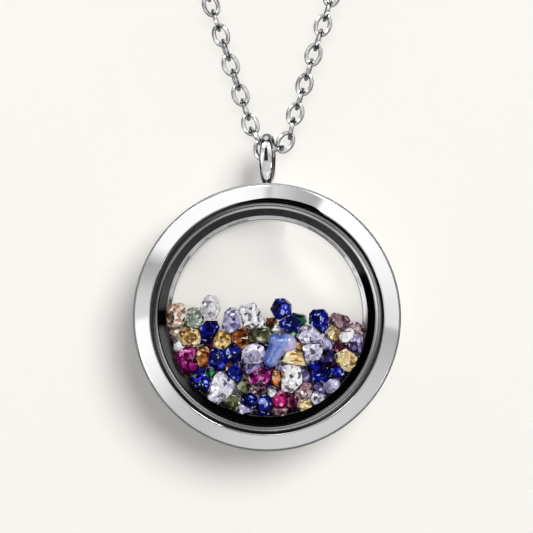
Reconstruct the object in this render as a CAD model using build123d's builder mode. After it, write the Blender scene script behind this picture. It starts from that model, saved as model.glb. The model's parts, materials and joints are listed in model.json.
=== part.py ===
from build123d import *
import math
import os
import numpy
from scipy.spatial import HalfspaceIntersection

os.makedirs("parts", exist_ok=True)

# A round floating locket on a cable chain, hanging as it is worn. The locket's glass
# faces look along -Y and +Y, and the chain's loop lies in the XZ plane. Millimetres.
# The origin is where the nape, or a hook, carries the loop: under the clasp's middle.

# Driving dimensions of the case
case_diameter = 30.0
case_thickness = 7.0
edge_round = 0.5
bezel_width = 2.0
bezel_fall = 0.4
bezel_inner_bevel = 0.12
front_ring_height = 2.25
parting_gap = 0.06
rim_wall = 1.5

# Glass and what holds it
glass_thickness = 1.1
glass_bevel = 0.18
front_glass_sink = 0.3
front_glass_clearance = 0.22
front_seat_width = 0.6
skirt_depth = 2.1
skirt_flare = 0.68
skirt_clearance = 0.1
skirt_end_gap = 0.1
skirt_end_step = 0.05
back_lip_width = 0.4
back_lip_thickness = 0.6
back_glass_clearance = 0.08

# Bail: a drop-shaped band from the side, a leaf from the front and a broader one behind
bail_clearance = 0.4
bail_band = 0.5
bail_rise = 5.84
bail_widest_below_axis = 1.3
front_leaf_top = 0.95
front_leaf_widest = 1.38
front_leaf_foot = 0.24
back_leaf_top = 1.4
back_leaf_widest = 1.6
back_leaf_foot = 1.1
bail_foot_half_depth = 0.7
bail_hole_tip_radius = 0.25
bail_hole_tip_rise = 1.1
bail_edge_round = 0.15
solder_foot_radius = 0.6
solder_foot_top_radius = 0.3
solder_foot_height = 0.45
solder_sink = 0.3

# Chain, as a tube as wide as its links, round the whole loop but for the clasp
chain_length = 508.0
link_width = 2.1
side_lean = 17.8
turn_radius = 1.95

# Clasp
clasp_length = 8.6
clasp_width = 3.2
clasp_thickness = 2.2
clasp_edge_round = 0.7
eye_radius = 0.95
eye_wire = 0.6
eye_sink = 0.2
eye_to_chain_gap = 0.12

# Stones
stone_gap = 0.12
wall_clearance = 0.15
glass_clearance = 0.1
neighbour_reach = 1.3
stone_fullness = 1.06
stone_lean = 14.0
stone_nod = 12.0

# Rear layer of stones: rows and columns as shares of the chamber's radius
rear_pitch = 0.17
rear_size = 0.215
rear_depth = 0.77
rear_top = -0.09
rear_reach = 0.89

# Places worked out from the sizes
case_radius = case_diameter / 2
case_front = -case_thickness / 2
case_back = case_thickness / 2
bezel_inner_radius = case_radius - bezel_width
bezel_edge = case_front + bezel_fall
parting = case_front + front_ring_height
front_glass_radius = bezel_inner_radius - front_glass_clearance
front_glass_face = case_front + front_glass_sink
front_glass_back = front_glass_face + glass_thickness
front_seat_radius = front_glass_radius - front_seat_width
chamber_radius = front_seat_radius - skirt_flare
skirt_end = parting + skirt_depth
recess_radius = case_radius - rim_wall
skirt_outer_radius = recess_radius - skirt_clearance
recess_floor = skirt_end + skirt_end_gap
back_window_radius = chamber_radius - back_lip_width
back_glass_radius = chamber_radius - back_glass_clearance
back_glass_back = case_back - back_lip_thickness
back_glass_face = back_glass_back - glass_thickness
chamber_depth = back_glass_face - front_glass_back
bail_hole_radius = link_width / 2 + bail_clearance
bail_outer_radius = bail_hole_radius + bail_band
axis_above_centre = case_radius + bail_rise - bail_outer_radius

# The loop is a belt round a large circle at the nape and a small turn in the bail
lean = math.radians(side_lean)
arc_share = math.pi + 2 * lean
belt_share = 2 / math.tan(lean)
top_radius = (chain_length + turn_radius * (belt_share - math.pi + 2 * lean)) / (
    arc_share + belt_share
)
between_centres = (top_radius - turn_radius) / math.sin(lean)
eye_place = clasp_length / 2 + eye_radius + eye_wire / 2 - eye_sink
chain_end_place = eye_place + eye_radius + eye_wire / 2 + eye_to_chain_gap
clasp_height = clasp_width / 2
top_centre = clasp_height - math.sqrt(top_radius**2 - eye_place**2)
turn_centre = top_centre - between_centres
swing_axis_height = turn_centre - turn_radius
locket_height = swing_axis_height - axis_above_centre
case_top = locket_height + case_radius

# The locket's rings and glass are turned: sections are drawn as radius and depth
turning = Plane(origin=(0, 0, locket_height), x_dir=(1, 0, 0), z_dir=(0, 0, 1))
turning_axis = Axis((0, 0, locket_height), (0, 1, 0))


# Front bezel: a polished ring whose skirt slips into the back case
with BuildPart() as front_bezel:
    with BuildSketch(turning) as bezel_section:
        with BuildLine():
            Polyline(
                (bezel_inner_radius, case_front),
                (case_radius, bezel_edge),
                (case_radius, parting),
                (skirt_outer_radius, parting),
                (skirt_outer_radius, skirt_end),
                (chamber_radius + skirt_end_step, skirt_end),
                (front_seat_radius, front_glass_back),
                (bezel_inner_radius, front_glass_back),
                close=True,
            )
        make_face()
        fillet(bezel_section.vertices().sort_by(Axis.Y)[1], edge_round)
        chamfer(bezel_section.vertices().sort_by(Axis.Y)[0], bezel_inner_bevel)
    revolve(axis=turning_axis)
front_bezel.part.label = "front_bezel"


# Front glass: a bevelled disc on the bezel's seat
with BuildPart() as front_glass:
    with BuildSketch(turning):
        with BuildLine():
            Polyline(
                (0, front_glass_face),
                (front_glass_radius - glass_bevel, front_glass_face),
                (front_glass_radius, front_glass_face + glass_bevel),
                (front_glass_radius, front_glass_back),
                (0, front_glass_back),
                close=True,
            )
        make_face()
    revolve(axis=turning_axis)
front_glass.part.label = "front_glass"


# Back glass: a disc on the back case's lip
with BuildPart() as back_glass:
    with BuildSketch(turning):
        with BuildLine():
            Polyline(
                (0, back_glass_face),
                (back_glass_radius - glass_bevel, back_glass_face),
                (back_glass_radius, back_glass_face + glass_bevel),
                (back_glass_radius, back_glass_back),
                (0, back_glass_back),
                close=True,
            )
        make_face()
    revolve(axis=turning_axis)
back_glass.part.label = "back_glass"


# Bail: its hole is round about the swing's axis, where the chain passes
with BuildPart() as bail:
    with BuildSketch(Plane.YZ):
        with Locations((0, swing_axis_height)):
            Circle(bail_outer_radius)
        with Locations((0, case_top)):
            Circle(bail_foot_half_depth)
        make_hull()
    extrude(amount=back_leaf_widest, both=True)
    with BuildSketch(Plane.YZ):
        with Locations((0, swing_axis_height)):
            Circle(bail_hole_radius)
        with Locations((0, case_top + bail_hole_tip_rise)):
            Circle(bail_hole_tip_radius)
        make_hull()
    extrude(amount=back_leaf_widest, both=True, mode=Mode.SUBTRACT)
    for forward, foot_width, widest, top_width in (
        (bail_outer_radius, front_leaf_foot, front_leaf_widest, front_leaf_top),
        (-bail_outer_radius, back_leaf_foot, back_leaf_widest, back_leaf_top),
    ):
        with BuildSketch(Plane.XZ.offset(forward)):
            with BuildLine():
                right_side = ThreePointArc(
                    (foot_width / 2, case_top - solder_sink),
                    (widest / 2, swing_axis_height - bail_widest_below_axis),
                    (top_width / 2, case_top + bail_rise),
                )
                left_side = ThreePointArc(
                    (-top_width / 2, case_top + bail_rise),
                    (-widest / 2, swing_axis_height - bail_widest_below_axis),
                    (-foot_width / 2, case_top - solder_sink),
                )
                Line(right_side @ 1, left_side @ 0)
                Line(left_side @ 1, right_side @ 0)
            make_face()
    loft(mode=Mode.INTERSECT)
    fillet(bail.edges(), bail_edge_round)


# Back case, with the bail soldered on its top
with BuildPart() as back_case:
    with BuildSketch(turning) as case_section:
        with BuildLine():
            Polyline(
                (case_radius, parting + parting_gap),
                (case_radius, case_back),
                (back_window_radius, case_back),
                (back_window_radius, back_glass_back),
                (chamber_radius, back_glass_back),
                (chamber_radius, recess_floor),
                (recess_radius, recess_floor),
                (recess_radius, parting + parting_gap),
                close=True,
            )
        make_face()
        fillet(case_section.vertices().sort_by(Axis.X)[-2:].sort_by(Axis.Y)[-1], edge_round)
    revolve(axis=turning_axis)
    with Locations((0, 0, case_top - solder_sink + solder_foot_height / 2)):
        Cone(solder_foot_radius, solder_foot_top_radius, solder_foot_height)
    add(bail.part)
back_case.part.label = "back_case"


# Chain: straight sides joined to the two turns by tangent arcs
end_angle = math.degrees(math.acos(chain_end_place / top_radius))
side_cos = math.cos(lean)
side_sin = math.sin(lean)
with BuildPart() as chain:
    with BuildLine(Plane.XZ) as chain_path:
        right_arc = CenterArc(
            (0, top_centre), top_radius, end_angle, -end_angle - side_lean
        )
        right_side = Line(
            right_arc @ 1,
            (turn_radius * side_cos, turn_centre - turn_radius * side_sin),
        )
        turn = CenterArc(
            (0, turn_centre), turn_radius, -side_lean, 2 * side_lean - 180
        )
        left_side = Line(
            turn @ 1,
            (-top_radius * side_cos, top_centre - top_radius * side_sin),
        )
        left_arc = CenterArc(
            (0, top_centre), top_radius, 180 + side_lean, -side_lean - end_angle
        )
    with BuildSketch(Plane(origin=chain_path.wire() @ 0, z_dir=chain_path.wire() % 0)):
        Circle(link_width / 2)
    sweep(path=chain_path.wire())
chain.part.label = "chain"
print("chain tube mm", round(chain_path.wire().length, 2))


# Clasp: a plain rounded body with an eye at each end
with BuildPart() as clasp:
    with BuildSketch(Plane.XZ):
        with Locations((0, clasp_height)):
            SlotOverall(clasp_length, clasp_width)
    extrude(amount=clasp_thickness / 2, both=True)
    fillet(clasp.edges().group_by(Axis.Y)[0], clasp_edge_round)
    fillet(clasp.edges().group_by(Axis.Y)[-1], clasp_edge_round)
    with Locations((eye_place, 0, clasp_height), (-eye_place, 0, clasp_height)):
        Torus(eye_radius, eye_wire / 2, rotation=(90, 0, 0))
clasp.part.label = "clasp"


# Cuts: rings of facets about a stone's main line, as the facets' elevation in degrees,
# how many there are, where the ring starts as a share of a facet, and how far out they
# lie as a share of the stone's own rounded outline. The first facet is the table.
# elevation, facets, start, reach
facet_angles = {
    "round": [
        (90, 1, 0.0, 0.62),
        (72, 8, 0.5, 0.755),
        (55, 8, 0.0, 0.82),
        (35, 8, 0.5, 0.93),
        (0, 16, 0.0, 1.00),
        (-48, 8, 0.0, 0.80),
        (-90, 1, 0.0, 0.70),
    ],
    "step": [
        (90, 1, 0.0, 0.72),
        (60, 8, 0.0, 0.86),
        (30, 8, 0.0, 0.96),
        (0, 8, 0.0, 1.00),
        (-42, 8, 0.5, 0.90),
        (-90, 1, 0.0, 0.80),
    ],
    "chip": [
        (90, 1, 0.0, 0.80),
        (52, 6, 0.2, 0.92),
        (20, 7, 0.0, 0.98),
        (-12, 6, 0.5, 1.00),
        (-48, 5, 0.1, 0.94),
        (-90, 1, 0.0, 0.85),
    ],
    "tumbled": [
        (90, 1, 0.0, 1.00),
        (66, 7, 0.0, 1.00),
        (42, 12, 0.5, 1.00),
        (18, 14, 0.0, 1.00),
        (-6, 15, 0.5, 1.00),
        (-32, 12, 0.0, 1.00),
        (-60, 7, 0.5, 1.00),
        (-90, 1, 0.0, 1.00),
    ],
}
# How uneven a cut's facets are, and how much further out every second facet of a
# step cut lies, which leaves its corners clipped.
unevenness = {"round": 0.0, "step": 0.04, "chip": 0.1, "tumbled": 0.02}
corner_reach = {"round": 1.0, "step": 1.13, "chip": 1.0, "tumbled": 1.0}

# Stones that are pieces of their own. Places and sizes are hundredths of the chamber's
# radius, from the chamber's middle: across, up, width, height and thickness. Depth is a
# share of the chamber's depth from the front glass, and turn is in degrees about the
# line of sight, anticlockwise.
# name, across, up, depth, width, height, thickness, turn, cut
main_stones = [
    ("peach_step", -88, 0, 0.30, 19, 25, 17, 12, "step"),
    ("sage_round", -72, -2, 0.30, 19, 21, 17, 0, "round"),
    ("clear_left", -56, 8, 0.36, 18, 25, 17, -20, "chip"),
    ("gold_round_left", -76, -20, 0.29, 22, 21, 18, 8, "round"),
    ("sapphire_upright", -56, -15, 0.34, 19, 25, 18, 4, "chip"),
    ("lilac_slanting", -35, -6, 0.30, 18, 28, 17, -42, "step"),
    ("clear_crown", -17, 0, 0.32, 21, 24, 18, -14, "step"),
    ("honey_left", -44, -22, 0.29, 19, 21, 17, 25, "step"),
    ("amber_left", -27, -20, 0.29, 18, 22, 17, -20, "chip"),
    ("olive_top", -4, -19, 0.31, 19, 16, 17, 0, "chip"),
    ("magenta_left", -78, -42, 0.30, 22, 27, 18, 24, "step"),
    ("orange_left", -63, -40, 0.32, 15, 20, 16, -12, "chip"),
    ("sapphire_round", -48, -42, 0.29, 20, 22, 18, 0, "round"),
    ("sapphire_cushion", -33, -35, 0.30, 17, 20, 17, 12, "step"),
    ("lilac_round", -13, -37, 0.29, 26, 20, 18, 0, "round"),
    ("sapphire_low_left", -64, -64, 0.30, 21, 18, 17, 18, "chip"),
    ("lilac_large", -45, -70, 0.33, 27, 35, 20, 34, "step"),
    ("sapphire_drop", -31, -56, 0.28, 11, 20, 13, -14, "chip"),
    ("magenta_middle", -7, -60, 0.29, 25, 17, 17, 8, "chip"),
    ("sapphire_kite", -17, -82, 0.30, 19, 15, 17, -24, "step"),
    ("olive_gold_low", -34, -84, 0.32, 17, 16, 17, 20, "chip"),
    ("sapphire_tall", -3, -86, 0.30, 16, 22, 17, -8, "step"),
    ("hot_pink", 13, -82, 0.29, 14, 20, 16, 8, "chip"),
    ("agate", 11, -31, 0.31, 26, 42, 20, -33, "tumbled"),
    ("sapphire_peak", 15, 7, 0.36, 20, 20, 17, 20, "chip"),
    ("sapphire_slanting", 22, -7, 0.29, 20, 15, 16, -28, "step"),
    ("sapphire_right", 51, -5, 0.32, 19, 23, 18, -30, "step"),
    ("mauve_bow", 71, -6, 0.40, 22, 15, 16, -6, "chip"),
    ("violet_wall", 87, -29, 0.32, 15, 21, 16, -14, "step"),
    ("lilac_white_large", 43, -18, 0.33, 29, 22, 19, 22, "chip"),
    ("lilac_right", 44, -35, 0.30, 24, 21, 18, 30, "step"),
    ("gold_round_right", 77, -42, 0.29, 22, 24, 18, -10, "round"),
    ("sapphire_low_right", 68, -55, 0.30, 19, 15, 17, 14, "chip"),
    ("sapphire_thin", 48, -54, 0.29, 12, 23, 15, 8, "step"),
    ("citrine_shard", 27, -40, 0.26, 27, 15, 14, 17, "step"),
    ("clear_prism", 24, -61, 0.29, 22, 32, 17, -12, "step"),
    ("mauve_low", 36, -73, 0.31, 17, 17, 17, 10, "step"),
    ("lilac_low_right", 64, -67, 0.34, 16, 16, 17, 20, "chip"),
    ("maroon_low", 25, -83, 0.33, 14, 17, 16, 0, "chip"),
    ("dusk_blue", 60, -41, 0.33, 15, 16, 16, 20, "chip"),
]

# Small stones between them, one piece as a field of loose stones.
# across, up, depth, width, height, thickness, turn, cut
small_stones = [
    (-89, -15, 0.55, 14, 14, 15, 0, "chip"),
    (-86, -28, 0.40, 11, 15, 14, 20, "step"),
    (-7, -7, 0.55, 13, 13, 14, 0, "chip"),
    (-24, -28, 0.45, 13, 12, 13, 0, "chip"),
    (4, -7, 0.60, 12, 11, 14, 0, "chip"),
    (-52, -30, 0.55, 12, 12, 14, 0, "chip"),
    (-39, -49, 0.45, 15, 13, 15, 15, "chip"),
    (-13, -50, 0.42, 19, 12, 15, 10, "step"),
    (-65, -53, 0.45, 15, 13, 15, 0, "chip"),
    (-56, -56, 0.40, 10, 11, 13, 0, "chip"),
    (-23, -68, 0.38, 14, 21, 15, 0, "chip"),
    (9, -61, 0.38, 12, 19, 15, 0, "chip"),
    (-9, -73, 0.38, 18, 13, 15, -12, "chip"),
    (2, -73, 0.50, 12, 12, 14, 0, "chip"),
    (-22, -91, 0.38, 15, 11, 15, 14, "step"),
    (5, -74, 0.30, 8, 12, 12, 0, "step"),
    (12, -92, 0.42, 17, 11, 15, 4, "chip"),
    (31, -3, 0.50, 17, 11, 14, -35, "step"),
    (26, -16, 0.50, 12, 10, 14, 0, "chip"),
    (10, -13, 0.62, 14, 11, 14, 0, "chip"),
    (65, -16, 0.32, 12, 15, 14, 10, "chip"),
    (79, -21, 0.45, 15, 19, 15, -10, "step"),
    (60, -26, 0.44, 13, 16, 14, 0, "chip"),
    (71, -30, 0.42, 14, 14, 14, 20, "chip"),
    (31, -29, 0.40, 12, 10, 12, 10, "chip"),
    (38, -57, 0.42, 13, 17, 15, 0, "chip"),
    (59, -60, 0.42, 12, 16, 14, 10, "chip"),
    (52, -70, 0.40, 13, 13, 15, 0, "chip"),
    (50, -80, 0.34, 16, 13, 16, 30, "step"),
    (37, -86, 0.34, 15, 14, 15, 0, "chip"),
]

# The rear layer fills the chamber behind them, in staggered rows
rear_stones = []
rear_rows = int((rear_reach + rear_top) / rear_pitch) + 1
for row in range(rear_rows):
    up = rear_top - rear_size / 2 - row * rear_pitch * 0.94
    columns = int(2 * rear_reach / rear_pitch) + 1
    for column in range(columns):
        across = (column - (columns - 1) / 2 + 0.5 * (row % 2)) * rear_pitch
        if math.hypot(across, up) > rear_reach:
            continue
        number = len(rear_stones)
        size = 100 * rear_size
        rear_stones.append(
            (
                100 * (across + 0.02 * math.sin(2.1 * number)),
                100 * (up + 0.02 * math.cos(1.3 * number)),
                rear_depth,
                size * (1 + 0.12 * math.sin(1.9 * number)),
                size * (1 + 0.12 * math.cos(2.7 * number)),
                size * 0.85,
                (37 * number) % 180,
                ("chip", "step", "chip", "chip", "round")[number % 5],
            )
        )


def stone_frame(number, row):
    """Middle, axes and half sizes of one stone, tipped a little so no two lie alike."""
    across, up, depth, width, height, thickness, turn, cut = row
    share = chamber_radius / 100
    middle = Vector(
        across * share,
        front_glass_back + depth * chamber_depth,
        locket_height + up * share,
    )
    tip = Plane(origin=middle, x_dir=(1, 0, 0), z_dir=(0, -1, 0)).rotated(
        (
            stone_nod * math.cos(2.3 * number),
            stone_lean * math.sin(1.7 * number),
            turn,
        )
    )
    half_share = stone_fullness * share / 2
    halves = (width * half_share, height * half_share, thickness * half_share)
    return middle, (tip.x_dir, tip.y_dir, tip.z_dir), halves


def outline_reach(axes, halves, direction):
    """How far a stone's rounded outline lies from its middle along a direction."""
    parts = [half * axis.dot(direction) for axis, half in zip(axes, halves)]
    return math.sqrt(sum(part * part for part in parts))


def facet_planes(number, frame, cut):
    """The stone's own facets, each as a normal and its distance from the middle."""
    middle, axes, halves = frame
    planes = []
    for ring, (elevation, facets, start, reach) in enumerate(facet_angles[cut]):
        rise = math.radians(elevation)
        for facet in range(facets):
            around = 2 * math.pi * (facet + start) / facets
            direction = (
                axes[0] * (math.cos(rise) * math.cos(around))
                + axes[1] * (math.cos(rise) * math.sin(around))
                + axes[2] * math.sin(rise)
            )
            uneven = 1 + unevenness[cut] * math.sin(12.9 * facet + 4.1 * ring + 7.7 * number)
            corner = corner_reach[cut] if facets == 8 and facet % 2 == 1 else 1
            distance = outline_reach(axes, halves, direction) * reach * uneven * corner
            planes.append((direction, distance))
    return planes


def chamber_planes(middle):
    """The two glasses and the chamber's wall, kept clear of the stone."""
    planes = [
        (Vector(0, -1, 0), middle.Y - front_glass_back - glass_clearance),
        (Vector(0, 1, 0), back_glass_face - glass_clearance - middle.Y),
    ]
    bearing = math.atan2(middle.Z - locket_height, middle.X)
    for side in (-0.16, 0, 0.16):
        outward = Vector(math.cos(bearing + side), 0, math.sin(bearing + side))
        from_centre = middle - Vector(0, 0, locket_height)
        room = chamber_radius - wall_clearance - from_centre.dot(outward)
        planes.append((outward, room))
    return planes


def neighbour_planes(index, frames):
    """Planes that part a stone from each stone near it, half a gap from the middle."""
    middle, axes, halves = frames[index]
    planes = []
    for other, (other_middle, other_axes, other_halves) in enumerate(frames):
        if other == index:
            continue
        apart = other_middle - middle
        direction = apart.normalized()
        own = outline_reach(axes, halves, direction)
        theirs = outline_reach(other_axes, other_halves, direction)
        if apart.length < neighbour_reach * (own + theirs) + stone_gap:
            planes.append((direction, apart.length * own / (own + theirs) - stone_gap / 2))
    return planes


def stone_corners(index, frames, cut):
    """Corners of the stone that its facets and its surroundings leave."""
    middle = frames[index][0]
    planes = facet_planes(index, frames[index], cut)
    planes += chamber_planes(middle)
    planes += neighbour_planes(index, frames)
    half_spaces = [
        [*direction, -distance - middle.dot(direction)] for direction, distance in planes
    ]
    return HalfspaceIntersection(numpy.array(half_spaces), numpy.array([*middle])).intersections


rows = [row[1:] for row in main_stones] + small_stones + rear_stones
frames = [stone_frame(number, row) for number, row in enumerate(rows)]
first_small = len(main_stones)
first_rear = first_small + len(small_stones)

for index, row in enumerate(main_stones):
    with BuildPart() as stone:
        ConvexPolyhedron(stone_corners(index, frames, row[-1]))
    stone.part.label = row[0]
    export_step(stone.part, "parts/" + row[0] + ".step")


def loose_stones(numbers):
    """The stones of one field, side by side and clear of each other."""
    return [
        ConvexPolyhedron(stone_corners(number, frames, rows[number][-1])).solid()
        for number in numbers
    ]


between_stones = loose_stones(range(first_small, first_rear))
with BuildPart() as front_chips:
    add(between_stones)
front_chips.part.label = "front_chips"

behind_stones = loose_stones(range(first_rear, len(rows)))
with BuildPart() as rear_chips:
    add(behind_stones)
rear_chips.part.label = "rear_chips"
print("stones", len(rows), "in the rear layer", len(rear_stones))

export_step(front_bezel.part, "parts/front_bezel.step")
export_step(front_glass.part, "parts/front_glass.step")
export_step(back_glass.part, "parts/back_glass.step")
export_step(back_case.part, "parts/back_case.step")
export_step(chain.part, "parts/chain.step")
export_step(clasp.part, "parts/clasp.step")
export_step(front_chips.part, "parts/front_chips.step")
export_step(rear_chips.part, "parts/rear_chips.step")
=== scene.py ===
"""Looks of a round floating locket on a cable chain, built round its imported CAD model. Metres."""
import json
import math
import random

import bmesh
import bpy
from mathutils import Matrix, Vector


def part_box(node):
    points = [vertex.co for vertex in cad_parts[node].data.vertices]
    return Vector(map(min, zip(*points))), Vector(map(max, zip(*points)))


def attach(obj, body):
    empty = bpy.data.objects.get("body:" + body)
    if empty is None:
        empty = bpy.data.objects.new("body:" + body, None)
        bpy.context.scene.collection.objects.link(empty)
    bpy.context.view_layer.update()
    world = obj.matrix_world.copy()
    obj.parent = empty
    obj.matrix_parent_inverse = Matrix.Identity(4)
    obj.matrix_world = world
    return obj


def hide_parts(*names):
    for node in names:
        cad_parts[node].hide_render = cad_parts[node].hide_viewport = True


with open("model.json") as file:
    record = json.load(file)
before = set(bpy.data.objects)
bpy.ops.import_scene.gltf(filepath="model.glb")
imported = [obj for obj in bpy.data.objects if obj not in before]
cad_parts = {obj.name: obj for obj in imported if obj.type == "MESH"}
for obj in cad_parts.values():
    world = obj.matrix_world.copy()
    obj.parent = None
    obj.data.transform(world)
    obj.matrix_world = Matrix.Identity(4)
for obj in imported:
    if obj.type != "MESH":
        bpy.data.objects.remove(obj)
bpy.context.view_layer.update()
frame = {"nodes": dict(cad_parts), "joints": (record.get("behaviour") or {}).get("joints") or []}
nodes = frame["nodes"]

MM = 0.001

# Places read from the frame
glass_low, glass_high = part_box("front_glass")
case_low, case_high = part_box("back_case")
bezel_low, bezel_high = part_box("front_bezel")
chain_low, chain_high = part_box("chain")
centre_height = (glass_low.z + glass_high.z) / 2
swing_axis_height = next(j for j in frame["joints"] if j["name"] == "swing")["pos_m"][2]


def add_object(name, data):
    made = bpy.data.objects.new(name, data)
    bpy.context.scene.collection.objects.link(made)
    return made


# Camera, at the photograph's angle to the locket
image_size = 533
focal_pixels = 1407.0
sensor_width = 36.0
camera_distance = 160 * MM
camera_rise = 5.663 * MM
camera_side = -0.05 * MM
clip_start = 5 * MM


def make_camera():
    data = bpy.data.cameras.new("camera")
    data.sensor_width = sensor_width
    data.lens = focal_pixels / image_size * sensor_width
    data.clip_start = clip_start
    camera = add_object("camera", data)
    camera.location = (camera_side, -camera_distance, centre_height + camera_rise)
    camera.rotation_euler = (math.radians(90), 0, 0)
    bpy.context.scene.camera = camera
    bpy.context.scene.view_settings.view_transform = "Standard"


class Shader:
    """An emptied node tree, with short calls for the nodes that the looks use."""

    def __init__(self, owner, output_kind="ShaderNodeOutputMaterial"):
        owner.use_nodes = True
        self.tree = owner.node_tree
        self.tree.nodes.clear()
        self.output = self.tree.nodes.new(output_kind).inputs[0]

    def link(self, source, target):
        self.tree.links.new(source, target)

    def feed(self, name, value):
        """Links a value to a socket of the material's principled shader."""
        self.link(value, self.principled.inputs[name])

    def made(self, kind, values=(), **settings):
        """Outputs of a new node, whose sockets are filled or linked by place or by name."""
        node = self.tree.nodes.new("ShaderNode" + kind)
        for name, value in settings.items():
            setattr(node, name, value)
        for key, value in values.items() if isinstance(values, dict) else enumerate(values):
            if isinstance(value, bpy.types.NodeSocket):
                self.link(value, node.inputs[key])
            else:
                node.inputs[key].default_value = value
        return node.outputs

    def math(self, operation, first, second=0.0, third=0.0):
        return self.made("Math", (first, second, third), operation=operation)[0]

    def vector(self, operation, first, second=(0, 0, 0), output=0):
        return self.made("VectorMath", (first, second), operation=operation)[output]

    def scaled(self, vector, amount):
        return self.made("VectorMath", {0: vector, "Scale": amount}, operation="SCALE")[0]

    def steps(self, value, low, high, at_low=0.0, at_high=1.0):
        """A smooth step: at_low below low, at_high above high."""
        values = (value, low, high, at_low, at_high)
        return self.made("MapRange", values, interpolation_type="SMOOTHSTEP")[0]

    def mix(self, share, first, second):
        return self.made("Mix", {0: share, 6: first, 7: second}, data_type="RGBA")[2]

    def ramp(self, value, stops):
        node = self.tree.nodes.new("ShaderNodeValToRGB")
        elements = node.color_ramp.elements
        while len(elements) < len(stops):
            elements.new(0.5)
        for element, (position, colour) in zip(elements, stops):
            element.position = position
            element.color = (*colour, 1)
        self.link(value, node.inputs[0])
        return node.outputs[0]

    def tones(self, value, stops):
        """A ramp of greys."""
        return self.ramp(value, [(at, (tone,) * 3) for at, tone in stops])

    def noise(self, vector, scale, detail=2.0, output=0):
        return self.made("TexNoise", {"Vector": vector, "Scale": scale, "Detail": detail})[output]

    def voronoi(self, vector, scale, feature="F1"):
        return self.made("TexVoronoi", {"Vector": vector, "Scale": scale}, feature=feature)

    def slant(self, blend):
        """How far the surface turns away, for gloss at a slant and painted dark rims."""
        return self.made("LayerWeight", {"Blend": blend})["Facing"]

    def bump(self, height, distance, strength=1.0):
        values = {"Strength": strength, "Distance": distance, "Height": height}
        return self.made("Bump", values)[0]

    def lean(self, radius, steepness):
        """Normal tilted towards the axis, as on a shallow cone round it; radius in millimetres."""
        return self.bump(self.math("MULTIPLY", radius, steepness * MM), 1.0)

    def place(self):
        return self.made("TexCoord")["Object"]

    def bearing(self, across, up):
        """Share of a turn, anticlockwise from the right as seen from the front."""
        turn = self.math("MULTIPLY", self.math("ARCTAN2", up, across), 0.5 / math.pi)
        return self.math("FRACT", self.math("ADD", turn, 1.0))


def surface(name, **sockets):
    """A material with one principled shader; sockets are given by name, with _ for a space."""
    material = bpy.data.materials.new(name)
    shader = Shader(material)
    shader.principled = shader.tree.nodes.new("ShaderNodeBsdfPrincipled")
    shader.link(shader.principled.outputs[0], shader.output)
    for key, value in sockets.items():
        shader.principled.inputs[key.replace("_", " ")].default_value = value
    return material, shader


def grey(value):
    return (value, value, value, 1)


# The studio's ring, which the bezel mirrors: bearing in degrees from the right, and tone
bearing_tones = [
    (0, 0.86), (15, 1.00), (30, 1.10), (62, 1.15), (63.5, 0.42), (74, 0.50), (84, 0.72),
    (87.0, 0.78), (88, 0.48), (90, 0.55), (91, 1.00), (105, 1.10), (150, 1.05), (153, 0.85),
    (159, 0.42), (166, 0.50), (173, 0.68), (184, 0.74), (186, 1.10), (198, 1.10), (212, 0.95),
    (225, 0.64), (240, 0.56), (255, 0.63), (285, 0.68), (315, 0.64), (330, 0.58), (345, 0.48),
    (350, 0.48), (351, 0.82), (360, 0.86),
]
ring_peak = 1.2
# Lamps that sparkle in the stones: degrees off the line of sight, bearing, radius, strength
lamps = [
    (46, 58, 7, 9.0), (52, 132, 6, 6.0), (44, 205, 5, 3.5), (58, 330, 5, 3.0), (38, 95, 4, 4.0),
]
lamp_blur = 0.001
front_tone = 0.78
side_tone = 0.03
overhead_tone = 0.70
back_tone = 0.20
rear_low_tone = 0.34
rear_high_tone = 0.95
fill_tone = 0.27
plain_background = (0.90, 0.885, 0.865, 1)
# Degrees off the line of sight between which one zone of the studio passes into the next
front_to_ring = (13, 17)
ring_to_side = (54, 62)
side_to_back = (104, 122)
back_to_rear = (136, 152)
# Heights, as the upward part of a direction, between which a zone's tone changes
overhead_heights = (0.90, 0.96)
rear_heights = (-0.35, 0.35)
# A tapered dark panel that the steel mirrors, in parts of a direction
panel_tone = 0.03
panel_half_width = 0.14
panel_taper = -0.20
panel_blur = 0.05
panel_foot = (-0.38, -0.33)
panel_top = (0.22, 0.28)


def direction_at(off_axis, bearing):
    """Unit vector that lies off_axis degrees from -Y, at a bearing seen from the front."""
    off, around = math.radians(off_axis), math.radians(bearing)
    return (math.sin(off) * math.cos(around), -math.cos(off), math.sin(off) * math.sin(around))


def blend(shader, angle, edges, inner, outer):
    """Passes from inner to outer while the angle runs between two edges."""
    share = shader.steps(angle, *edges)
    kept = shader.math("MULTIPLY", inner, shader.math("SUBTRACT", 1.0, share))
    return shader.math("ADD", kept, shader.math("MULTIPLY", outer, share))


def add_dark_panel(shader, tone, across, up):
    """Darkens a tone where the dark panel stands."""
    width = shader.math("MULTIPLY_ADD", up, panel_taper, panel_half_width)
    beside = shader.math("SUBTRACT", shader.math("ABSOLUTE", across), width)
    below, above = shader.steps(up, *panel_top, 1.0, 0.0), shader.steps(up, *panel_foot)
    panel = shader.math("MULTIPLY", below, above)
    panel = shader.math("MULTIPLY", shader.steps(beside, 0.0, panel_blur, 1.0, 0.0), panel)
    return shader.math("MULTIPLY_ADD", panel, shader.math("SUBTRACT", panel_tone, tone), tone)


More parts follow.
